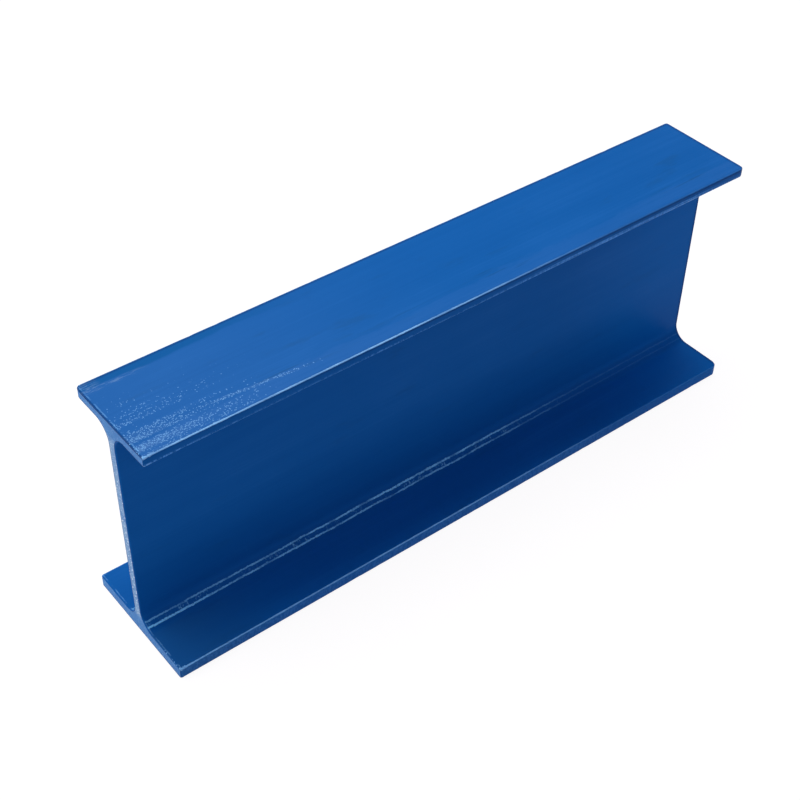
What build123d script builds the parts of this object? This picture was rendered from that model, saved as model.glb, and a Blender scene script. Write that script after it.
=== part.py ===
"""Pultruded fibreglass I-beam: a short sawn length of stock, lower flange wider and thicker than the upper."""
import os

from build123d import *

# Driving dimensions, millimetres
length = 406.4
depth = 152.4
lower_flange_width = 82.55
upper_flange_width = 63.5
lower_flange_thickness = 7.9375
upper_flange_thickness = 6.35
web_thickness = 6.35
root_radius = 10.0
edge_radius = 1.6
cut_edge_break = 0.4

# Half widths of the web and both flanges, and the heights of the flanges' inner faces
half_web = web_thickness / 2
half_lower = lower_flange_width / 2
half_upper = upper_flange_width / 2
lower_inside = lower_flange_thickness
upper_inside = depth - upper_flange_thickness

# Each radius stays inside the wall it rounds
overhang = min(half_lower, half_upper) - half_web
tip = min(edge_radius, 0.45 * lower_flange_thickness, 0.45 * upper_flange_thickness)
root = min(root_radius, 0.9 * (overhang - tip), 0.45 * (upper_inside - lower_inside))
end_break = min(cut_edge_break, 0.5 * tip)

# Section outline in Y and Z, going round from the lower flange
right_side = [
    (half_lower, 0),
    (half_lower, lower_inside),
    (half_web, lower_inside),
    (half_web, upper_inside),
    (half_upper, upper_inside),
    (half_upper, depth),
]
left_side = [(-y, z) for y, z in reversed(right_side)]
section = Polygon(*right_side, *left_side, align=None)

# Root fillets beside the web, then the rounded flange edges
section = fillet([v for v in section.vertices() if abs(v.X) < half_web + 0.01], root)
flange_corners = [
    v
    for v in section.vertices()
    if min(abs(abs(v.X) - half_lower), abs(abs(v.X) - half_upper)) < 0.01
]
section = fillet(flange_corners, tip)

# Draw the section along X, then break the arris round both sawn ends
beam = extrude(Plane.YZ * section, length / 2, both=True)
ends = beam.faces().filter_by(Axis.X)
beam = chamfer(ends.edges(), end_break)

os.makedirs("parts", exist_ok=True)
export_step(beam, "parts/i_beam.step")
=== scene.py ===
"""Dresses the packed fibreglass I-beam: its skin and sawn ends, two materials, a studio and the camera."""
import math

import bpy
import numpy as np
from mathutils import Matrix, Vector, noise
from mathutils.geometry import delaunay_2d_cdt


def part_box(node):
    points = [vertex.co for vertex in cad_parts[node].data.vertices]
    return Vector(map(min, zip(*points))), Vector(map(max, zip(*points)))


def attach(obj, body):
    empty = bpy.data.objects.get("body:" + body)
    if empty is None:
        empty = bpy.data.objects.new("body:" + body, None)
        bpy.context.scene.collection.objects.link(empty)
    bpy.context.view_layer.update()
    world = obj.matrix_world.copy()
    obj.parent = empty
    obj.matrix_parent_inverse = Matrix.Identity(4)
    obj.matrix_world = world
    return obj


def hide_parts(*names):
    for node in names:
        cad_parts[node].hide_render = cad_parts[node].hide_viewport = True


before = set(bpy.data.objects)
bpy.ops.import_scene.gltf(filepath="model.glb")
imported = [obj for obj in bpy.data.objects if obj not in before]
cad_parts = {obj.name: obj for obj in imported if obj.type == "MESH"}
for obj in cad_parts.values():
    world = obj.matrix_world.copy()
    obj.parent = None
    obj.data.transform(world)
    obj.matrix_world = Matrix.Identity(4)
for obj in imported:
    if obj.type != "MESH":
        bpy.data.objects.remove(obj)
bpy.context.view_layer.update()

LOW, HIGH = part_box("i_beam")

# Section sizes in metres: the box gives three, the rest repeat the part's own
HALF_LENGTH = (HIGH.x - LOW.x) / 2
DEPTH = HIGH.z - LOW.z
HALF_LOWER = (HIGH.y - LOW.y) / 2
HALF_UPPER = 0.03175
LOWER_WALL = 0.0079375
UPPER_WALL = 0.00635
HALF_WEB = 0.003175
ROOT = 0.010
TIP = 0.0016
BREAK = 0.0004

# Places that follow from them
LOWER_INSIDE = LOWER_WALL
UPPER_INSIDE = DEPTH - UPPER_WALL
MID_HEIGHT = DEPTH / 2
ROOT_ARC = ROOT * math.pi / 2
LEFT = -HALF_LENGTH
FRONT_EDGE = -HALF_UPPER
BACK_EDGE = HALF_UPPER
WEB_FRONT = -HALF_WEB

# Spacing of the mesh: rings along the beam, points round the section, and points over a sawn end
RING_STEP = 0.0020
UNDERSIDE_STEP = 0.0030
FLANGE_STEP = 0.0022
SIDE_STEP = 0.0008
WEB_STEP = 0.0050
GUARD = 0.0003
CAP_STEP = 0.00075
CAP_JITTER = 0.3 * CAP_STEP
MERGE = 1e-9
SHARP_DEGREES = 32

# Degrees of the points round a flange edge, and of those round a root from the web, closest at the seams
EDGE_DEGREES = range(9, 91, 9)
EDGE_MIDDLE = 45
ROOT_FROM_WEB = np.concatenate([
    np.linspace(0, 33, 9)[:-1],
    np.linspace(33, 69, 29),
    np.linspace(69, 90, 7)[1:],
])

# The upward flange edges are worn crisper: their height, the middle of their curve, and points below it
WORN_TIP = 0.0007
WORN_MIDDLE = 36
UPRIGHT_POINTS = 3

# Relief of the skin: slight waves, and nicks within reach of a flange edge
WAVE_HEIGHT = 0.00003
NICK_DEPTH = 0.00030
NICK_REACH = 0.0012
NICK_FULL = 0.0003

# Two ragged seams run along each root, at these degrees from the web
SEAM_DEGREES = (41.0, 61.0)
SEAM_HEIGHT = 0.00014
SEAM_HALF_WIDTH = 0.00042
SEAM_WANDER = 2.0
SEAM_SHAKE = 1.2
UPPER_SEAM = 0.5

# The arris of a sawn end: its roughness and chips, and the largest break and inset that the section takes
ARRIS_ROUGHNESS = 0.00009
CHIP_DEPTH = 0.0006
LARGEST_BREAK = 0.0011
LARGEST_INSET = 0.00155

# The dark resin rim inside a sawn end's arris: wide along the top, a hair elsewhere
RIM_TOP = 0.0012
RIM_SIDE = 0.0003

# The saw's marks: the blade's centre, the pitch and depth of its arcs, and the depth of torn fibre
BLADE_Y = 0.11
BLADE_Z = -0.16
ARC_PITCH = 0.0021
ARC_SHAKE = 2.2
ARC_DEPTH = 0.00003
TORN_DEPTH = 0.00005

# Radius to which each flange corner is worn, seen from above: end, upper, front
CORNER_WEAR = {
    (-1, True, True): 0.0007,
    (-1, True, False): 0.0028,
    (-1, False, True): 0.0010,
    (-1, False, False): 0.0014,
    (1, True, True): 0.0030,
    (1, True, False): 0.0024,
    (1, False, True): 0.0050,
    (1, False, False): 0.0015,
}
CORNER_SHARE = 0.9
WEAR_REACH = 0.012

# How pale the flange edges are, as rubbed wear and painted highlight: on top of each flange, under it, and on
# the back
UPPER_TOP_PALE = 1.0
UPPER_UNDER_PALE = 0.60
LOWER_TOP_PALE = 0.85
LOWER_UNDER_PALE = 0.2
BACK_PALE = 0.55

# How strong the seam lines, with their painted glints and the painted root shade round them, are: in the
# upper roots, the lower front root and the lower back root
UPPER_SEAM_LINE = 0.4
FRONT_SEAM_LINE = 1.0
BACK_SEAM_LINE = 0.7


def smooth(a, b, x):
    """0 at a, 1 at b, smooth between; a may be above b."""
    t = np.clip((np.asarray(x, float) - a) / (b - a), 0, 1)
    return t * t * (3 - 2 * t)


def wobble(x, y=0.0, z=0.0):
    """Smooth noise, about -1 to 1, that is the same each run."""
    return noise.noise(Vector((x, y, z)))


# Section outline


def flat(start, stop, step):
    """Points from start to stop, without start, with a close guard point at each end."""
    start, stop = np.array(start, float), np.array(stop, float)
    run = np.linalg.norm(stop - start)
    guard = min(GUARD, run / 4)
    inner = np.linspace(guard, run - guard, max(2, int(round(run / step))) + 1)
    return [start + (stop - start) * s / run for s in [*inner, run]]


def half_outline():
    """The +Y half, bottom to top: y, z, normal y, normal z, degrees in a root, 1 at an edge's middle."""
    rows = [[0, 0, 0, -1, np.nan, 0]]

    def straight(stop, normal, step):
        """A flat run from the last point to stop."""
        for p in flat(rows[-1][:2], stop, step):
            rows.append([*p, *normal, np.nan, 0])

    def corner(cy, cz, y, z, middle=False):
        """A point of a flange edge, which an inset moves towards the edge's centre."""
        rows.append([y, z, (y - cy) / TIP, (z - cz) / TIP, np.nan, int(middle)])

    def rounded(cy, cz, start):
        """A flange edge's quarter circle, from start degrees."""
        for degrees in EDGE_DEGREES:
            a = math.radians(start + degrees)
            corner(cy, cz, cy + TIP * math.cos(a), cz + TIP * math.sin(a), degrees == EDGE_MIDDLE)

    def worn(cy, cz):
        """An upward flange edge, worn to a crisper quarter ellipse above a short upright."""
        upright = TIP - WORN_TIP
        for rise in np.linspace(0, upright, UPRIGHT_POINTS + 1)[1:]:
            corner(cy, cz, cy + TIP, cz + rise)
        for degrees in EDGE_DEGREES:
            a = math.radians(degrees)
            z = cz + upright + WORN_TIP * math.sin(a)
            corner(cy, cz, cy + TIP * math.cos(a), z, degrees == WORN_MIDDLE)

    def root(cy, cz, upper):
        """A root's hollow quarter circle."""
        for degrees in ROOT_FROM_WEB[1:] if upper else ROOT_FROM_WEB[-2::-1]:
            a = math.radians(180 - degrees if upper else 180 + degrees)
            c, s = math.cos(a), math.sin(a)
            rows.append([cy + ROOT * c, cz + ROOT * s, -c, -s, degrees, 0])

    straight((HALF_LOWER - TIP, 0), (0, -1), UNDERSIDE_STEP)
    rounded(HALF_LOWER - TIP, TIP, -90)
    straight((HALF_LOWER, LOWER_INSIDE - TIP), (1, 0), SIDE_STEP)
    worn(HALF_LOWER - TIP, LOWER_INSIDE - TIP)
    straight((HALF_WEB + ROOT, LOWER_INSIDE), (0, 1), FLANGE_STEP)
    root(HALF_WEB + ROOT, LOWER_INSIDE + ROOT, False)
    straight((HALF_WEB, UPPER_INSIDE - ROOT), (1, 0), WEB_STEP)
    root(HALF_WEB + ROOT, UPPER_INSIDE - ROOT, True)
    straight((HALF_UPPER - TIP, UPPER_INSIDE), (0, -1), FLANGE_STEP)
    rounded(HALF_UPPER - TIP, UPPER_INSIDE + TIP, -90)
    straight((HALF_UPPER, DEPTH - TIP), (1, 0), SIDE_STEP)
    worn(HALF_UPPER - TIP, DEPTH - TIP)
    straight((0, DEPTH), (0, 1), FLANGE_STEP)
    return np.array(rows)


half = half_outline()
mirrored = half[-2:0:-1] * [-1, 1, -1, 1, 1, 1]
outline = np.vstack([half, mirrored])
Y, Z, NY, NZ, ROOT_DEGREES, AT_MIDDLE = outline.T
COUNT = len(outline)
IN_ROOT = ~np.isnan(ROOT_DEGREES)
UPPER = Z > MID_HEIGHT
FRONT = Y < 0
ROOT_SEED = 3.0 * FRONT + 7.0 * UPPER
STEP = np.hypot(np.diff(Y, append=Y[0]), np.diff(Z, append=Z[0]))
ALONG = np.concatenate([[0], np.cumsum(STEP)[:-1]])


def edge_distance():
    """How far each outline point is, along the outline, from the middle of the nearest flange edge."""
    away = np.full(COUNT, 1.0)
    for middle in np.where(AT_MIDDLE)[0]:
        d = np.abs(ALONG - ALONG[middle])
        away = np.minimum(away, np.minimum(d, STEP.sum() - d))
    return away


EDGE = edge_distance()
NICKED = smooth(NICK_REACH, NICK_FULL, EDGE)


# The skin's relief


def seam_gaps(x):
    """Each outline point's signed distance from its root's two seams at x, or 1 m outside the roots."""
    gaps = np.ones((2, COUNT))
    for i in np.where(IN_ROOT)[0]:
        for k, degrees in enumerate(SEAM_DEGREES):
            wander = SEAM_WANDER * wobble(x * 45, ROOT_SEED[i], k * 9.0)
            shake = SEAM_SHAKE * wobble(x * 260, ROOT_SEED[i], k * 5.0)
            gaps[k, i] = (ROOT_DEGREES[i] - degrees - (wander + shake)) / 90 * ROOT_ARC
    return gaps


def relief(x, gaps):
    """Height of the skin over the true outline at x: slight waves, nicked edges, and ridges at the seams."""
    height = np.empty(COUNT)
    for i in range(COUNT):
        height[i] = WAVE_HEIGHT * (wobble(x * 6, Y[i] * 90 + 5, Z[i] * 90) - 1)
        nick = max(0.0, wobble(x * 190, Y[i] * 60, Z[i] * 60) - 0.25)
        height[i] -= NICK_DEPTH * nick * NICKED[i]
    for k in range(2):
        for i in np.where(np.abs(gaps[k]) < 4 * SEAM_HALF_WIDTH)[0]:
            tall = SEAM_HEIGHT * max(0.0, 0.55 + 0.6 * wobble(x * 330, ROOT_SEED[i] + 2, k * 3.0))
            ridge = math.exp(-((gaps[k, i] / SEAM_HALF_WIDTH) ** 2))
            height[i] += tall * ridge * (UPPER_SEAM if UPPER[i] else 1.0)
    return height


def corner_drop(y, z, side):
    """How far a sawn end falls back at y, z, where the flange corners are worn round."""
    radius = CORNER_WEAR[side, bool(z > MID_HEIGHT), bool(y < 0)]
    into = radius - ((HALF_UPPER if z > MID_HEIGHT else HALF_LOWER) - abs(y))
    if into <= 0:
        return 0.0
    return CORNER_SHARE * (radius - math.sqrt(radius * radius - into * into))


def chips(side):
    """How far the arris is broken away round one sawn end."""
    broken = []
    for a in ALONG:
        rough = ARRIS_ROUGHNESS * (1 + wobble(a * 900, side * 11.0))
        chip = CHIP_DEPTH * max(0.0, wobble(a * 190, side * 4.0, 3.0) - 0.42)
        broken.append(rough + chip)
    return np.array(broken)


def sawn_height(y, z, side):
    """Depth of the saw's marks below the end plane: arcs of a large blade, and torn fibre."""
    far = math.hypot(y - BLADE_Y * side, z - BLADE_Z)
    shake = ARC_SHAKE * wobble(y * 60, z * 60, side * 2.0)
    arcs = 0.5 + 0.5 * math.sin(far * 2 * math.pi / ARC_PITCH + shake)
    torn = max(0.0, wobble(y * 900, z * 900, side * 5.0))
    return ARC_DEPTH * arcs + TORN_DEPTH * torn


# The beam's mesh: rings along the skin, then a fine field over each sawn end

end_x = HALF_LENGTH - BREAK
rings_x = np.linspace(-end_x, end_x, int(round(2 * end_x / RING_STEP)) + 1)
drop = {side: np.array([corner_drop(y, z, side) for y, z in zip(Y, Z)]) for side in (-1, 1)}
verts, faces, kinds, rim_depths, seams, edges = [], [], [], [], [], []


def skin():
    """Rings of the outline from end to end, squeezed back where the corners are worn."""
    for n, x in enumerate(rings_x):
        side = -1 if x < 0 else 1
        gaps = seam_gaps(x)
        shift = relief(x, gaps)
        back = drop[side] * max(0.0, (abs(x) - end_x + WEAR_REACH) / WEAR_REACH)
        if n in (0, len(rings_x) - 1):
            back = back + chips(side)
        verts.append(np.column_stack([x - side * back, Y + NY * shift, Z + NZ * shift]))
        seams.append(gaps)
        rim_depths.append(np.zeros(COUNT))
        edges.append(EDGE)
    for n in range(len(rings_x) - 1):
        a, b = n * COUNT, (n + 1) * COUNT
        for i in range(COUNT):
            j = (i + 1) % COUNT
            faces.append((a + i, a + j, b + j, b + i))
            kinds.append(0)


def inside(y, z, inset):
    """True where a point of the section lies well inside the rim."""
    d2 = (Y - y) ** 2 + (Z - z) ** 2
    i = int(np.argmin(d2))
    gap = inset[i] + CAP_JITTER
    return (Y[i] - y) * NY[i] + (Z[i] - z) * NZ[i] > 0.8 * gap and d2[i] > gap * gap


def field_points(inset):
    """Slightly uneven grid points over the two flanges and the web, all inside the rim."""
    low_root, high_root = LOWER_INSIDE + ROOT, UPPER_INSIDE - ROOT
    boxes = (
        (HALF_LOWER, 0, low_root),
        (HALF_WEB + ROOT, low_root, high_root),
        (HALF_UPPER, high_root, DEPTH),
    )
    points = []
    for n, (half_width, z0, z1) in enumerate(boxes):
        for a, y in enumerate(np.arange(-half_width, half_width, CAP_STEP)):
            for b, z in enumerate(np.arange(z0, z1, CAP_STEP)):
                py = y + CAP_JITTER * wobble(a * 1.7 + 0.3, b * 1.3 + 0.7, n + 0.5)
                pz = z + CAP_JITTER * wobble(a * 1.1 + 9.3, b * 1.9 + 4.7, n + 7.5)
                if inside(py, pz, inset):
                    points.append((py, pz))
    return np.array(points)


def cap(side):
    """One sawn end: a broken arris, a rim of surface resin, and a fine triangle field for the saw's marks."""
    base = sum(len(v) for v in verts)
    broken = np.minimum(BREAK + chips(side), LARGEST_BREAK)
    top = smooth(0.7, 1.0, NZ) * (Z > DEPTH - UPPER_WALL / 2)
    inset = np.minimum(broken + RIM_SIDE + (RIM_TOP - RIM_SIDE) * top, LARGEST_INSET)
    outer = np.column_stack([Y - NY * broken, Z - NZ * broken])
    rim = np.column_stack([Y - NY * inset, Z - NZ * inset])
    points = [Vector(p) for p in np.vstack([outer, rim, field_points(inset)])]
    loops = [(s + i, s + (i + 1) % COUNT) for s in (0, COUNT) for i in range(COUNT)]
    made, _, tris, source, _, _ = delaunay_2d_cdt(points, loops, [], 1, MERGE)
    new, depth, away = [], [], []
    for p, origin in zip(made, source):
        on_arris = any(s < COUNT for s in origin)
        on_rim = any(COUNT <= s < 2 * COUNT for s in origin)
        sink = corner_drop(p.x, p.y, side) + (0.0 if on_arris else sawn_height(p.x, p.y, side))
        new.append((side * (HALF_LENGTH - sink), p.x, p.y))
        depth.append(0.0 if on_arris else 1.0 if on_rim else 2.0)
        away.append(EDGE[min(origin)] if on_arris else 1.0)
    verts.append(np.array(new))
    rim_depths.append(np.array(depth))
    edges.append(np.array(away))
    seams.append(np.ones((2, len(new))))
    for t in tris:
        faces.append(tuple(base + k for k in (t if side > 0 else t[::-1])))
        kinds.append(1)
    place = {s: k for k, origin in enumerate(source) for s in origin if s < COUNT}
    ring = 0 if side < 0 else (len(rings_x) - 1) * COUNT
    for i in range(COUNT):
        j = (i + 1) % COUNT
        quad = (ring + i, ring + j, base + place[j], base + place[i])
        faces.append(quad[::-1] if side < 0 else quad)
        kinds.append(0)


def edge_wear_and_highlight(x, y, z):
    """How pale each flange edge is, as rubbed wear and painted highlight: the upper front one most, and the
    front top edges less towards their far end, where the painted highlight fades.
    """
    upper, front = z > MID_HEIGHT, y < 0
    on_top = np.where(upper, z > DEPTH - UPPER_WALL / 2, z > LOWER_WALL / 2)
    above = np.where(on_top, UPPER_TOP_PALE, UPPER_UNDER_PALE)
    below = np.where(on_top, LOWER_TOP_PALE, LOWER_UNDER_PALE)
    rub = np.where(upper, above, below)
    rub = np.where(front, rub, rub * BACK_PALE)
    # The front top edges fade towards the far end as a painted highlight
    upper_fade = 1 - 0.92 * smooth(-0.06, 0.115, x)
    lower_fade = 1 - 0.85 * smooth(-0.02, 0.12, x)
    return rub * np.where(on_top & front, np.where(upper, upper_fade, lower_fade), 1.0)


def beam_mesh():
    """Joins the skin and both ends, with the values that the materials read at each point."""
    skin()
    cap(-1)
    cap(1)
    points = np.vstack(verts)
    x, y, z = points.T
    mesh = bpy.data.meshes.new("pultruded_beam")
    mesh.from_pydata(points.tolist(), [], faces)
    mesh.polygons.foreach_set("material_index", np.array(kinds, np.int32))
    mesh.polygons.foreach_set("use_smooth", np.ones(len(faces), bool))
    gap_a, gap_b = np.hstack(seams)
    over_lower = smooth(LOWER_INSIDE + 0.002, LOWER_INSIDE + 0.008, z)
    under_upper = smooth(UPPER_INSIDE - 0.002, UPPER_INSIDE - 0.008, z)
    low_seam = np.where(y < 0, FRONT_SEAM_LINE, BACK_SEAM_LINE)
    fields = {
        "seam_a": gap_a,
        "seam_b": gap_b,
        "seam_strength": np.where(z > MID_HEIGHT, UPPER_SEAM_LINE, low_seam),
        "edge_away": np.concatenate(edges),
        "edge_wear_and_highlight": edge_wear_and_highlight(x, y, z),
        "rim_depth": np.concatenate(rim_depths),
        "web_share": over_lower * under_upper,
    }
    for name, values in fields.items():
        attribute = mesh.attributes.new(name, "FLOAT", "POINT")
        attribute.data.foreach_set("value", values.astype(np.float32))
    mesh.validate()
    mesh.set_sharp_from_angle(angle=math.radians(SHARP_DEGREES))
    return mesh


# Noises of the materials: waves per metre along x, y and z, detail, roughness, and a shift of its own
NOISE = {
    "roving": ((5, 620, 620), 4, 0.62, 0.0),
    "bands": ((2.2, 95, 95), 3, 0.55, 3.1),
    "blotch": ((14, 34, 34), 3, 0.5, 7.7),
    "smudge": ((20, 75, 75), 4, 0.6, 13.0),
    "scuff_streaks": ((9, 330, 330), 3, 0.6, 5.0),
    "hair": ((26, 1500, 1500), 3, 0.7, 11.0),
    "hair_patches": ((7, 40, 40), 2, 0.5, 21.0),
    "back_strokes": ((170, 1300, 1300), 4, 0.7, 27.0),
    "strip_line": ((24, 90, 90), 4, 0.65, 1.3),
    "strip_brush": ((20, 460, 460), 3, 0.6, 9.4),
    "strip_patches": ((18, 20, 20), 2, 0.5, 23.0),
    "lip_hatch": ((620, 90, 260), 3, 0.7, 17.0),
    "lip_stretch": ((11, 1, 1), 2, 0.5, 19.0),
    "lip_brush": ((45, 300, 1500), 3, 0.7, 83.0),
    "edge_line": ((160, 420, 420), 4, 0.65, 2.0),
    "edge_burr": ((800, 800, 800), 2, 0.6, 91.0),
    "edge_breaks": ((38, 60, 60), 4, 0.65, 15.0),
    "seam_beads": ((900, 900, 900), 2, 0.6, 55.0),
    "seam_line": ((380, 380, 380), 3, 0.7, 30.0),
    "seam_fray": ((1300, 1300, 1300), 2, 0.5, 34.0),
    "seam_dashes": ((60, 8, 8), 4, 0.7, 40.0),
    "seam_rungs": ((900, 420, 420), 3, 0.7, 61.0),
    "seam_stretch": ((50, 8, 8), 3, 0.6, 66.0),
    "low_web_shade": ((9, 30, 30), 2, 0.5, 81.0),
    "back_edge_shade": ((30, 60, 60), 3, 0.6, 71.0),
    "low_dust": ((30, 60, 60), 3, 0.6, 87.0),
    "arris_line": ((500, 500, 500), 3, 0.6, 75.0),
    "arris_breaks": ((60, 160, 60), 3, 0.6, 77.0),
    "cloud": ((0.1, 150, 150), 4, 0.6, 2.5),
    "grit": ((0.1, 2400, 2400), 3, 0.7, 8.5),
    "lying_plies": ((0.1, 70, 2100), 3, 0.6, 4.5),
    "standing_plies": ((0.1, 2100, 70), 3, 0.6, 6.5),
}

# Cells per metre, and their stretch: flecks, arris specks, cut fibres, cut bundles and the mat's web
FLECK_CELLS = (1750.0, (0.8, 1.0, 1.0))
ARRIS_CELLS = (950.0, (1.0, 1.0, 1.0))
FIBRE_CELLS = (1150.0, (0.0, 1.0, 1.0))
BUNDLE_CELLS = (560.0, (0.0, 1.0, 1.0))
MAT_CELLS = 210.0
MAT_BEND_WAVES = 130.0
MAT_BEND = (0.006, 0.006, 0.006)
COAT_ROUGHNESS = 0.25


class Graph:
    """A material's node tree, built by short calls that return sockets."""

    def __init__(self, name):
        self.material = bpy.data.materials.new(name)
        self.material.use_nodes = True
        self.tree = self.material.node_tree
        self.tree.nodes.clear()
        self.at = self.add("ShaderNodeTexCoord").outputs["Object"]
        self.x, self.y, self.z = self.add("ShaderNodeSeparateXYZ", {0: self.at}).outputs

    def put(self, socket, value):
        """Links a socket to another one, or sets it to a constant."""
        if isinstance(value, bpy.types.NodeSocket):
            self.tree.links.new(value, socket)
        else:
            socket.default_value = value

    def add(self, kind, values=None, **options):
        """A new node with its options and inputs set."""
        node = self.tree.nodes.new(kind)
        for key, value in options.items():
            setattr(node, key, value)
        for key, value in (values or {}).items():
            self.put(node.inputs[key], value)
        return node

    def math(self, operation, a, b=0.5):
        """One Math node; b is unused by those of one input."""
        return self.add("ShaderNodeMath", {0: a, 1: b}, operation=operation).outputs[0]

    def times(self, first, *others):
        """The product of them all."""
        for other in others:
            first = self.math("MULTIPLY", first, other)
        return first

    def plus(self, first, *others):
        """The sum of them all."""
        for other in others:
            first = self.math("ADD", first, other)
        return first

    def most(self, first, *others):
        """The largest of them all."""
        for other in others:
            first = self.math("MAXIMUM", first, other)
        return first

    def ramp(self, value, low, high, to_low=0.0, to_high=1.0):
        """A smooth step from to_low at low to to_high at high."""
        values = {"Value": value, "From Min": low, "From Max": high, "To Min": to_low, "To Max": to_high}
        return self.add("ShaderNodeMapRange", values, interpolation_type="SMOOTHSTEP").outputs[0]

    def fall(self, value, low, high, from_level=1.0):
        """A smooth step from from_level at low down to 0 at high."""
        return self.ramp(value, low, high, from_level, 0.0)

    def band(self, value, start, full, hold, stop):
        """0 up to start, 1 from full to hold, and 0 again past stop."""
        return self.times(self.ramp(value, start, full), self.fall(value, hold, stop))

    def attribute(self, name):
        """One of the values that the mesh holds at each point."""
        return self.add("ShaderNodeAttribute", attribute_name=name).outputs["Fac"]

    def noise(self, name, shift=0.0):
        """One of the named noises, about 0.5, moved on by shift."""
        waves, detail, rough, own_shift = NOISE[name]
        away = own_shift + shift
        values = {"Vector": self.at, "Location": (away, away * 1.7, away * 2.3), "Scale": waves}
        moved = self.add("ShaderNodeMapping", values).outputs[0]
        values = {"Vector": moved, "Scale": 1.0, "Detail": detail, "Roughness": rough}
        return self.add("ShaderNodeTexNoise", values).outputs[0]

    def sway(self, name, reach, shift=0.0):
        """One of the named noises, about 0, with a reach in metres."""
        return self.times(self.math("SUBTRACT", self.noise(name, shift), 0.5), reach)

    def cells(self, scale, stretch):
        """Random cells: the distance from each cell's point, and the cell's own chance from 0 to 1."""
        moved = self.add("ShaderNodeMapping", {"Vector": self.at, "Scale": stretch}).outputs[0]
        node = self.add("ShaderNodeTexVoronoi", {"Vector": moved, "Scale": scale})
        chance = self.add("ShaderNodeSeparateColor", {0: node.outputs["Color"]}).outputs[0]
        return node.outputs["Distance"], chance

    def specks(self, crowd, cells, core, rim):
        """A round speck in as many of the cells as crowd says, full inside core and gone at rim."""
        spot, chance = self.cells(*cells)
        shown = self.ramp(self.math("SUBTRACT", crowd, chance), 0.0, 0.06)
        return self.times(shown, self.fall(spot, core, rim))

    def mix(self, factor, a, b):
        """Colour a where factor is 0, and b where it is 1."""
        node = self.add("ShaderNodeMix", data_type="RGBA")
        for index, value in ((0, factor), (6, a), (7, b)):
            self.put(node.inputs[index], value)
        return node.outputs[2]

    def finish(self, color, rough, height, specular, bump_distance, bump_strength, coat=0.0):
        """The material, with its shader and bump."""
        values = {"Height": height, "Distance": bump_distance, "Strength": bump_strength}
        bump = self.add("ShaderNodeBump", values)
        values = {
            "Base Color": color,
            "Roughness": rough,
            "Specular IOR Level": specular,
            "Coat Weight": coat,
            "Coat Roughness": COAT_ROUGHNESS,
            "Normal": bump.outputs[0],
        }
        shader = self.add("ShaderNodeBsdfPrincipled", values)
        self.tree.links.new(shader.outputs[0], self.add("ShaderNodeOutputMaterial").inputs[0])
        return self.material


# The skin's material

BLUE = (0.0045, 0.118, 0.410, 1)
DEEP = (0.0035, 0.110, 0.390, 1)
LIGHT = (0.0085, 0.132, 0.442, 1)
SMUDGE = (0.0060, 0.098, 0.310, 1)
# Pale scuff colour, also used for painted sheen on the upper face
SCUFF_AND_SHEEN = (0.21, 0.36, 0.60, 1)
# Paler lip colour, also used for painted bounce light
LIP_AND_BOUNCE_LIGHT = (0.150, 0.450, 1.0, 1)
# Dark resin of a sawn end's rim, also used for painted shade on the skin
RESIN_RIM_AND_SHADE = (0.002, 0.050, 0.20, 1)
# Painted sheen for the strip along the upper face's front edge
STRIP_SHEEN = (0.018, 0.140, 0.450, 1)
FLECK = (0.20, 0.45, 0.80, 1)
# Pale colours of rubbed edges, also used for painted highlights
RUBBED_AND_HIGHLIGHT = (0.28, 0.60, 1.0, 1)
RUBBED_BLUE_AND_HIGHLIGHT = (0.24, 0.58, 1.0, 1)
# Pale seam colour, also used for painted glints on the seams
FIBRE_AND_GLINT = (0.18, 0.60, 1.0, 1)
# Painted shade for the upper face's back edge
BACK_SHADE_BLUE = (0.0010, 0.105, 0.335, 1)
DUST = (0.0120, 0.105, 0.320, 1)
# Painted light for the front at the right end
FAR_PAINTED_LIGHT = (0.0010, 0.165, 0.560, 1)
# Painted shade for the roots and the web's lower front
ROOT_SHADE = (0.0015, 0.070, 0.29, 1)
SKIN_SPECULAR = 0.03
SKIN_BUMP_DISTANCE = 0.00025
SKIN_BUMP = 0.06

# A row of flecks lies along y + slope x + offset = 0 on the upper face
ROW_SLOPE = 0.095
ROW_OFFSET = 0.0331

# How far a seam's line widens where it is widest
SEAM_SPREAD = 0.0001


def upper_face(g, reach=0.0010):
    """1 on the upper flange's top face, and 0 from reach below it."""
    return g.ramp(g.z, DEPTH - reach, DEPTH - reach + 0.0008)


def mat_fibres(g):
    """A web of bent mat fibres."""
    values = {"Vector": g.at, "Scale": MAT_BEND_WAVES, "Detail": 2.0}
    bend = g.add("ShaderNodeTexNoise", values).outputs["Color"]
    bend = g.add("ShaderNodeVectorMath", {0: bend, 1: MAT_BEND}, operation="MULTIPLY").outputs[0]
    swirl = g.add("ShaderNodeVectorMath", {0: g.at, 1: bend}, operation="ADD").outputs[0]
    values = {"Vector": swirl, "Scale": MAT_CELLS}
    web = g.add("ShaderNodeTexVoronoi", values, feature="DISTANCE_TO_EDGE").outputs[0]
    return g.fall(web, 0.0, 0.055)


def resin_tone(g):
    """The resin's own colour: long faint roving streaks, soft blotches, and a faint web of mat fibres."""
    roving = g.noise("roving")
    fibre = mat_fibres(g)
    tone = g.plus(g.times(roving, 0.32), g.times(g.noise("bands"), 0.32), g.times(g.noise("blotch"), 0.36))
    color = g.mix(g.ramp(tone, 0.36, 0.52), DEEP, BLUE)
    color = g.mix(g.ramp(tone, 0.50, 0.66), color, LIGHT)
    color = g.mix(g.times(fibre, 0.08), color, LIGHT)
    smudge = g.ramp(g.noise("smudge"), 0.60, 0.72)
    color = g.mix(g.times(smudge, 0.45), color, SMUDGE)
    return tone, roving, fibre, color


def fleck_row(g):
    """A slanting row of flecks by the upper face's front edge."""
    away = g.math("ABSOLUTE", g.plus(g.y, g.times(g.x, ROW_SLOPE), ROW_OFFSET))
    return g.times(g.fall(away, 0.0006, 0.0014, 0.55), g.band(g.x, -0.17, -0.15, -0.12, -0.09))


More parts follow.
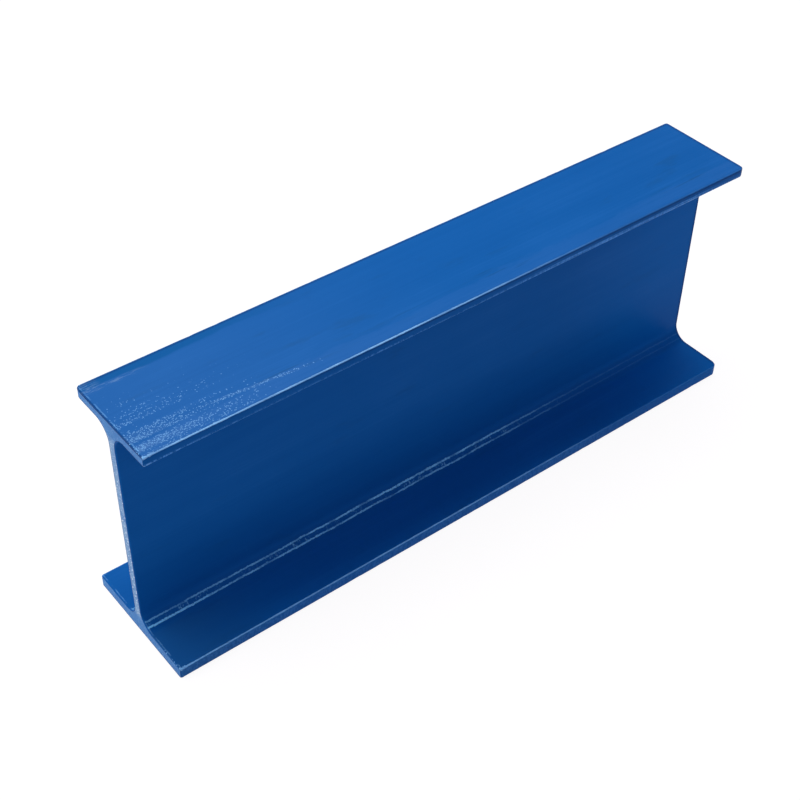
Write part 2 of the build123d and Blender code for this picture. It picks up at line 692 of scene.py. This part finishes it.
def top_scuffs_and_sheen(g):
    """Scuffed haze and flecks on the upper face, thickest at its left front corner, where the haze is partly
    painted sheen, with painted sheen fading from the left end, and strokes by the back edge.
    """
    top = upper_face(g)
    near = g.fall(g.x, LEFT - 0.020, LEFT + 0.095)
    front = g.fall(g.y, FRONT_EDGE - 0.005, 0.022)
    streaks = g.ramp(g.noise("scuff_streaks"), 0.39, 0.58, 0.05, 0.90)
    thick = g.most(g.times(top, near, front, streaks), g.times(top, fleck_row(g)))
    flecks = g.specks(thick, FLECK_CELLS, 0.38, 0.55)
    fine = g.noise("hair")
    hair = g.times(top, g.ramp(fine, 0.66, 0.74), g.ramp(g.noise("hair_patches"), 0.5, 0.7), 0.22)
    strokes = g.ramp(g.noise("back_strokes"), 0.46, 0.60)
    border = g.times(g.band(g.y, 0.0215, 0.0235, 0.0245, 0.0258), g.fall(g.x, -0.190, -0.160, 0.8))
    patch = g.times(g.ramp(g.y, 0.0210, 0.0250), g.fall(g.x, -0.2005, -0.1900))
    back = g.times(top, g.most(border, patch), strokes, 0.55)
    sheen = g.times(top, g.fall(g.x, LEFT, 0.02, 0.075))
    # Scuffs at the left front corner, partly painted sheen
    corner = g.times(g.math("POWER", g.most(thick, 0.0), 3.0), 0.45)
    return g.most(g.plus(corner, sheen), hair), back, g.times(flecks, 0.9), fine


def front_sheen_strip(g):
    """Painted sheen: a lighter strip along the upper face's front edge, with a wavy, brushed inner line."""
    top = upper_face(g)
    across = g.plus(g.y, g.sway("strip_line", 0.016), -FRONT_EDGE)
    strip = g.fall(across, 0.009, 0.012)
    brush = g.noise("strip_brush")
    border = g.band(across, 0.006, 0.010, 0.011, 0.016)
    patches = g.ramp(g.noise("strip_patches"), 0.42, 0.60)
    strokes = g.times(top, border, g.ramp(brush, 0.52, 0.64), patches)
    return g.times(top, strip, g.ramp(brush, 0.35, 0.65, 0.6, 1.0)), strokes


def lip_band_and_bounce_light(g):
    """Rough paler blue on the flanges' front faces: the upper one's lower half, and all the lower one, which
    is painted bounce light.
    """
    face = g.ramp(g.y, FRONT_EDGE + 0.0005, FRONT_EDGE + 0.0002)
    rise = g.ramp(g.z, UPPER_INSIDE, UPPER_INSIDE + 0.0008)
    thin = g.times(rise, g.fall(g.z, UPPER_INSIDE + 0.0014, UPPER_INSIDE + 0.0024))
    tall = g.times(rise, g.fall(g.z, UPPER_INSIDE + 0.0025, UPPER_INSIDE + 0.0034))
    hatch = g.ramp(g.noise("lip_hatch"), 0.42, 0.58)
    stretch = g.ramp(g.noise("lip_stretch"), 0.36, 0.60, 0.25, 1.0)
    broken = g.times(thin, hatch, stretch, g.ramp(g.x, -0.18, 0.0, 0.80, 1.0))
    brush = g.ramp(g.noise("lip_brush"), 0.40, 0.62, 0.25, 1.0)
    reach = g.times(g.ramp(g.x, -0.01, 0.10), g.ramp(g.x, 0.15, 0.19, 1.0, 0.3))
    solid = g.times(tall, brush, g.ramp(hatch, 0.0, 1.0, 0.6, 1.0), reach)
    upper = g.times(face, g.most(broken, solid))
    # Painted bounce light from the floor on the lower flange's front face
    low_face = g.ramp(g.y, -HALF_LOWER + 0.0006, -HALF_LOWER + 0.0002)
    lower = g.times(low_face, g.ramp(hatch, 0.0, 1.0, 0.10, 0.22), g.fall(g.x, 0.06, 0.16))
    return g.most(upper, lower)


def shadow_line(g):
    """The dark line on the upper flange's front face, just under its worn edge."""
    face = g.ramp(g.y, FRONT_EDGE + 0.0013, FRONT_EDGE + 0.0010)
    line = g.band(g.z, DEPTH - 0.0022, DEPTH - 0.0015, DEPTH - 0.0010, DEPTH - 0.0006)
    return g.times(face, line, g.ramp(g.x, -0.17, -0.04, 0.35, 1.0), 0.7)


def worn_and_highlit_edges(g):
    """Edges pale in a thin broken line, partly rubbed wear and partly painted highlight, raggedest at the
    left end, and the colour they show.
    """
    edge = g.plus(g.attribute("edge_away"), g.sway("edge_line", 0.0006))
    burr = g.times(g.fall(g.x, LEFT, LEFT + 0.007, 0.0010), g.ramp(g.noise("edge_burr"), 0.42, 0.60))
    line = g.fall(g.math("SUBTRACT", edge, burr), 0.00028, 0.00052)
    breaks = g.ramp(g.noise("edge_breaks"), 0.32, 0.58, 0.55, 1.0)
    rubbed = g.mix(g.ramp(g.z, UPPER_INSIDE, UPPER_INSIDE + 0.003), RUBBED_BLUE_AND_HIGHLIGHT, RUBBED_AND_HIGHLIGHT)
    return g.times(line, g.attribute("edge_wear_and_highlight"), breaks), rubbed


def seam_lines_and_root_shade(g):
    """The two pale ragged lines in each root, partly seams and partly painted glints, with short strands
    between, and painted shade in the root round them.
    """
    gaps = (g.attribute("seam_a"), g.attribute("seam_b"))
    strength = g.attribute("seam_strength")
    beads = g.ramp(g.noise("seam_beads"), 0.34, 0.56, 0.70, 1.0)
    along = (g.ramp(g.x, -0.20, -0.03, 0.55, 1.0), g.ramp(g.x, -0.20, 0.0, 1.0, 0.75))
    middle = g.times(g.ramp(g.x, -0.10, -0.05, 0.0, SEAM_SPREAD), g.fall(g.x, 0.0, 0.05))
    spreads = (middle, g.fall(g.x, LEFT, -0.11, SEAM_SPREAD))
    lines = []
    for k in range(2):
        jitter = g.plus(g.sway("seam_line", 0.0011, k * 13), g.sway("seam_fray", 0.0010, k))
        away = g.math("ABSOLUTE", g.plus(gaps[k], jitter))
        dashes = g.ramp(g.noise("seam_dashes", k * 7), 0.34, 0.54, 0.30, 1.0)
        line = g.fall(g.math("SUBTRACT", away, spreads[k]), 0.00032, 0.00056)
        lines.append(g.times(line, dashes, beads, along[k]))
    between = g.times(g.ramp(gaps[0], -0.0002, 0.0002), g.fall(gaps[1], -0.0002, 0.0002))
    rungs = g.ramp(g.noise("seam_rungs"), 0.52, 0.70)
    strands = g.times(between, rungs, g.ramp(g.noise("seam_stretch"), 0.40, 0.60, 0.15, 1.0), 0.60)
    fade = g.ramp(g.x, 0.0, 0.115, 1.0, 0.08)
    # Painted shade in the root round the seams
    root = g.times(g.ramp(gaps[0], -0.0050, -0.0010), g.fall(gaps[1], 0.0010, 0.0050), strength, 0.45)
    return g.times(g.most(*lines, strands), fade, strength), root


def low_web_shade(g):
    """Painted shade on the front of the web's lower third."""
    front = g.times(g.ramp(g.y, 0.0, WEB_FRONT), g.ramp(g.y, WEB_FRONT - 0.006, WEB_FRONT - 0.004))
    height = g.plus(g.z, g.sway("low_web_shade", 0.03))
    rise = g.times(g.ramp(g.z, 0.010, 0.018), g.fall(height, 0.030, 0.072, 0.4))
    return g.times(front, rise, g.ramp(g.x, 0.05, 0.17, 1.0, 0.4))


def back_edge_shade(g):
    """Painted shade in a wavy strip along the upper face's back edge, at its left end."""
    across = g.plus(g.y, g.sway("back_edge_shade", 0.005))
    strip = g.ramp(across, BACK_EDGE - 0.0080, BACK_EDGE - 0.0060)
    return g.times(upper_face(g, 0.0016), strip, g.fall(g.x, -0.15, -0.06, 0.75))


def low_dust(g):
    """Duller resin on the top of the lower flange's front, at its left end."""
    face = g.times(g.ramp(g.z, LOWER_INSIDE + 0.004, LOWER_INSIDE + 0.002), g.ramp(g.y, -0.008, -0.014))
    along = g.plus(g.x, g.sway("low_dust", 0.03))
    return g.times(face, g.fall(along, -0.19, -0.13, 0.75))


def painted_far_light(g):
    """Painted light on the front of the web and lower flange, at the right end."""
    far = g.ramp(g.x, 0.09, 0.19, 0.0, 0.55)
    return g.times(g.ramp(g.y, 0.0, WEB_FRONT), far, g.ramp(g.z, 0.140, 0.125))


def back_shade_and_far_band(g):
    """Painted shade along the upper face's back edge, and a darker band round the right end."""
    back = g.ramp(g.y, BACK_EDGE - 0.0030, BACK_EDGE - 0.0016, 0.0, 0.6)
    far = g.ramp(g.x, HALF_LENGTH - 0.0028, HALF_LENGTH - 0.0014, 0.0, 0.55)
    return g.most(g.times(upper_face(g, 0.0016), back), far)


def sawn_arris(g):
    """The left end's upward arris: dark on the upper flange, with a pale line that is partly wear and partly
    painted highlight, and torn glass beside it.
    """
    near = g.plus(g.x, HALF_LENGTH)
    facing = g.add("ShaderNodeNewGeometry").outputs["Normal"]
    upward = g.ramp(g.add("ShaderNodeSeparateXYZ", {0: facing}).outputs[2], 0.5, 0.8)
    dark = g.times(g.fall(near, 0.0004, 0.0007, 0.8), g.ramp(g.z, 0.08, 0.09))
    ragged = g.plus(near, g.sway("arris_line", 0.0010))
    breaks = g.ramp(g.noise("arris_breaks"), 0.40, 0.60, 0.0, 0.35)
    pale = g.times(g.band(ragged, 0.0005, 0.0008, 0.0010, 0.0015), breaks)
    crowd = g.times(g.fall(near, 0.0006, 0.0022, 0.75), g.ramp(g.y, -0.012, -0.030))
    specks = g.specks(crowd, ARRIS_CELLS, 0.22, 0.38)
    return g.times(dark, upward), g.times(g.most(pale, specks), upward)


def skin_material():
    """Blue resin skin: its own tone first, then scuffs, painted sheen, painted shade and light, seams with
    painted glints, rims, and worn edges with painted highlights over all.
    """
    g = Graph("blue_fiberglass")
    tone, roving, fibre, color = resin_tone(g)
    strip, brushed = front_sheen_strip(g)
    # Painted sheen along the upper face's front edge
    color = g.mix(g.times(strip, 0.8), color, STRIP_SHEEN)
    color = g.mix(g.times(brushed, 0.80), color, SMUDGE)
    scuffs_and_sheen, strokes, flecks, fine = top_scuffs_and_sheen(g)
    # Scuffs and painted sheen on the upper face
    color = g.mix(scuffs_and_sheen, color, SCUFF_AND_SHEEN)
    # Painted shade along the upper face's back edge
    color = g.mix(back_edge_shade(g), color, BACK_SHADE_BLUE)
    color = g.mix(strokes, color, SCUFF_AND_SHEEN)
    color = g.mix(flecks, color, FLECK)
    color = g.mix(low_dust(g), color, DUST)
    # Painted light at the right end
    color = g.mix(painted_far_light(g), color, FAR_PAINTED_LIGHT)
    lip_and_bounce_light = lip_band_and_bounce_light(g)
    # Paler lip, and painted bounce light on the lower flange's front
    color = g.mix(lip_and_bounce_light, color, LIP_AND_BOUNCE_LIGHT)
    seam, root = seam_lines_and_root_shade(g)
    # Painted shade in the roots and on the web's lower front
    color = g.mix(g.most(root, low_web_shade(g)), color, ROOT_SHADE)
    # Pale seams, partly painted glints
    color = g.mix(seam, color, FIBRE_AND_GLINT)
    # Painted shade under the front edge and along the back edge, and a darker band at the right end
    color = g.mix(g.most(shadow_line(g), back_shade_and_far_band(g)), color, RESIN_RIM_AND_SHADE)
    dark, pale = sawn_arris(g)
    color = g.mix(dark, color, RESIN_RIM_AND_SHADE)
    # Pale arris line, partly painted highlight
    color = g.mix(pale, color, RUBBED_BLUE_AND_HIGHLIGHT)
    worn, rubbed = worn_and_highlit_edges(g)
    # Worn edges, partly painted highlights
    color = g.mix(worn, color, rubbed)
    dull = g.times(g.most(scuffs_and_sheen, strokes, flecks, lip_and_bounce_light, seam, worn), 0.16)
    rough = g.plus(g.ramp(tone, 0.35, 0.65, 0.46, 0.38), dull)
    height = g.plus(g.times(roving, 0.7), g.times(fibre, 0.25), g.times(fine, 0.2))
    coat = g.most(g.times(seam, 0.9), g.times(worn, 0.7))
    return g.finish(color, rough, height, SKIN_SPECULAR, SKIN_BUMP_DISTANCE, SKIN_BUMP, coat)


# The sawn ends' material

SAWN_DEEP = (0.060, 0.205, 0.53, 1)
SAWN_LIGHT = (0.115, 0.315, 0.64, 1)
SAWN_WEB = (0.34, 0.50, 0.70, 1)
GLASS = (0.66, 0.80, 0.95, 1)
BARE_GLASS = (0.95, 0.98, 1.0, 1)
SAWN_SPECULAR = 0.15
SAWN_BUMP_DISTANCE = 0.00012
SAWN_BUMP = 0.35


def sawn_material():
    """Cut glass bundles in resin: whiter in the web, with plies along each wall and a dark resin rim."""
    g = Graph("sawn_fiberglass")
    web = g.attribute("web_share")
    spot, chance = g.cells(*FIBRE_CELLS)
    dots = g.times(g.fall(spot, 0.15, 0.5), g.ramp(chance, 0.35, 0.9))
    share = g.times(g.ramp(g.y, 0.0015, -0.0010, 0.15, 0.70), g.ramp(g.z, 0.135, 0.105))
    bundles = g.times(web, g.specks(share, BUNDLE_CELLS, 0.20, 0.36))
    cloud = g.noise("cloud")
    grit = g.noise("grit")
    lying = g.noise("lying_plies")
    standing = g.noise("standing_plies")
    plies = g.plus(lying, g.times(web, g.math("SUBTRACT", standing, lying)))
    tone = g.plus(g.times(cloud, 0.45), g.times(grit, 0.25), g.times(plies, 0.30))
    color = g.mix(g.ramp(tone, 0.35, 0.65), SAWN_DEEP, SAWN_LIGHT)
    color = g.mix(g.times(web, g.ramp(cloud, 0.30, 0.60, 0.25, 0.75)), color, SAWN_WEB)
    color = g.mix(g.times(dots, g.plus(g.times(web, 0.65), 0.20)), color, GLASS)
    color = g.mix(bundles, color, BARE_GLASS)
    rim = g.plus(g.attribute("rim_depth"), g.times(g.math("SUBTRACT", grit, 0.5), 0.5))
    color = g.mix(g.fall(rim, 0.80, 1.10), color, RESIN_RIM_AND_SHADE)
    rough = g.ramp(tone, 0.3, 0.7, 0.62, 0.78)
    height = g.plus(g.times(grit, 0.6), g.times(plies, 0.5), g.times(dots, 0.5))
    return g.finish(color, rough, height, SAWN_SPECULAR, SAWN_BUMP_DISTANCE, SAWN_BUMP)


# The beam itself

mesh = beam_mesh()
mesh.materials.append(skin_material())
mesh.materials.append(sawn_material())
beam = bpy.data.objects.new("pultruded_beam", mesh)
bpy.context.collection.objects.link(beam)
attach(beam, "root")
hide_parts("i_beam")


# Studio

FLOOR_HALF_SIZE = 6.0
FLOOR_BOUNCE = (0.85, 0.85, 0.85)
FLOOR_SHADED = (0.16, 0.16, 0.16)
FLOOR_WHITE = (1, 0.985, 0.983)
FLOOR_GLOW = 0.93
FILL = (0.68, 0.79, 1.0)
FILL_FROM_SIDES = 0.52
FILL_FROM_ABOVE = 0.27


def seen_ray(tree):
    """1 for rays that show the background: straight from the camera, or by way of gloss or glass."""
    path = tree.nodes.new("ShaderNodeLightPath")
    out = path.outputs["Is Camera Ray"]
    for name in ("Is Glossy Ray", "Is Transmission Ray"):
        node = tree.nodes.new("ShaderNodeMath")
        node.operation = "MAXIMUM"
        tree.links.new(out, node.inputs[0])
        tree.links.new(path.outputs[name], node.inputs[1])
        out = node.outputs[0]
    return out


def pick_seen(tree, unseen, seen, output):
    """Sends unseen to the output for light that bounces, and seen for rays that show the background."""
    pick = tree.nodes.new("ShaderNodeMixShader")
    out = tree.nodes.new(output)
    tree.links.new(seen_ray(tree), pick.inputs[0])
    tree.links.new(unseen, pick.inputs[1])
    tree.links.new(seen, pick.inputs[2])
    tree.links.new(pick.outputs[0], out.inputs[0])


def plain_shader(tree, kind, color, strength=None):
    """A shader of one colour, with a strength where it has one."""
    node = tree.nodes.new(kind)
    node.inputs[0].default_value = (*color, 1)
    if strength is not None:
        node.inputs[1].default_value = strength
    return node.outputs[0]


def make_floor():
    """A floor that takes the shadow: plain white for bounced light, partly its own white where it is seen."""
    signs = ((-1, -1), (1, -1), (1, 1), (-1, 1))
    corners = [(x * FLOOR_HALF_SIZE, y * FLOOR_HALF_SIZE, 0) for x, y in signs]
    data = bpy.data.meshes.new("floor")
    data.from_pydata(corners, [], [(0, 1, 2, 3)])
    floor = bpy.data.objects.new("floor", data)
    bpy.context.collection.objects.link(floor)
    mat = bpy.data.materials.new("floor")
    mat.use_nodes = True
    tree = mat.node_tree
    tree.nodes.clear()
    both = tree.nodes.new("ShaderNodeAddShader")
    tree.links.new(plain_shader(tree, "ShaderNodeBsdfDiffuse", FLOOR_SHADED), both.inputs[0])
    tree.links.new(plain_shader(tree, "ShaderNodeEmission", FLOOR_WHITE, FLOOR_GLOW), both.inputs[1])
    bounce = plain_shader(tree, "ShaderNodeBsdfDiffuse", FLOOR_BOUNCE)
    pick_seen(tree, bounce, both.outputs[0], "ShaderNodeOutputMaterial")
    data.materials.append(mat)


def make_world():
    """A cool fill, stronger from the sides than from above, and plain white where it is seen."""
    world = bpy.data.worlds.new("studio")
    bpy.context.scene.world = world
    world.use_nodes = True
    tree = world.node_tree
    tree.nodes.clear()
    height = tree.nodes.new("ShaderNodeSeparateXYZ")
    tree.links.new(tree.nodes.new("ShaderNodeTexCoord").outputs["Generated"], height.inputs[0])
    level = tree.nodes.new("ShaderNodeMapRange")
    level.inputs["To Min"].default_value = FILL_FROM_SIDES
    level.inputs["To Max"].default_value = FILL_FROM_ABOVE
    tree.links.new(height.outputs["Z"], level.inputs["Value"])
    fill = plain_shader(tree, "ShaderNodeBackground", FILL)
    tree.links.new(level.outputs[0], fill.node.inputs["Strength"])
    white = plain_shader(tree, "ShaderNodeBackground", (1, 1, 1), 1.0)
    pick_seen(tree, fill, white, "ShaderNodeOutputWorld")


def softbox(name, at, target, width, height, watts):
    """A rectangular lamp at one point, turned to another."""
    data = bpy.data.lights.new(name, "AREA")
    data.shape = "RECTANGLE"
    data.size = width
    data.size_y = height
    data.energy = watts
    lamp = bpy.data.objects.new(name, data)
    lamp.location = at
    lamp.rotation_euler = (Vector(target) - Vector(at)).to_track_quat("-Z", "Y").to_euler()
    bpy.context.collection.objects.link(lamp)


make_floor()
make_world()
softbox("overhead", at=(-0.12, 0.40, 1.05), target=(-0.12, 0.40, 0.0), width=1.5, height=0.85, watts=10.0)
softbox("left", at=(-1.3, 0.25, 0.36), target=(-0.2, 0.0, 0.07), width=0.7, height=0.5, watts=2.6)


# Camera, at the photograph's angle: degrees, and millimetres of sensor and lens

CAMERA_AT = (-0.41603, -0.48207, 0.62093)
YAW = 38.8852
PITCH = 41.5851
ROLL = 1.1333
SENSOR = 36.0
LENS = 66.312
NEAREST = 0.01
FARTHEST = 50


def make_camera():
    """The camera, from its place and its three angles."""
    yaw, pitch, roll = (math.radians(a) for a in (YAW, PITCH, ROLL))
    ahead = Vector((math.sin(yaw) * math.cos(pitch), math.cos(yaw) * math.cos(pitch), -math.sin(pitch)))
    right = Vector((math.cos(yaw), -math.sin(yaw), 0))
    up = right.cross(ahead)
    turned = right * math.cos(roll) + up * math.sin(roll)
    upright = up * math.cos(roll) - right * math.sin(roll)
    data = bpy.data.cameras.new("camera")
    data.sensor_width = SENSOR
    data.lens = LENS
    data.clip_start = NEAREST
    data.clip_end = FARTHEST
    cam = bpy.data.objects.new("camera", data)
    bpy.context.collection.objects.link(cam)
    cam.matrix_world = Matrix.Translation(CAMERA_AT) @ Matrix((turned, upright, -ahead)).transposed().to_4x4()
    bpy.context.scene.camera = cam


make_camera()
bpy.context.scene.view_settings.view_transform = "Standard"
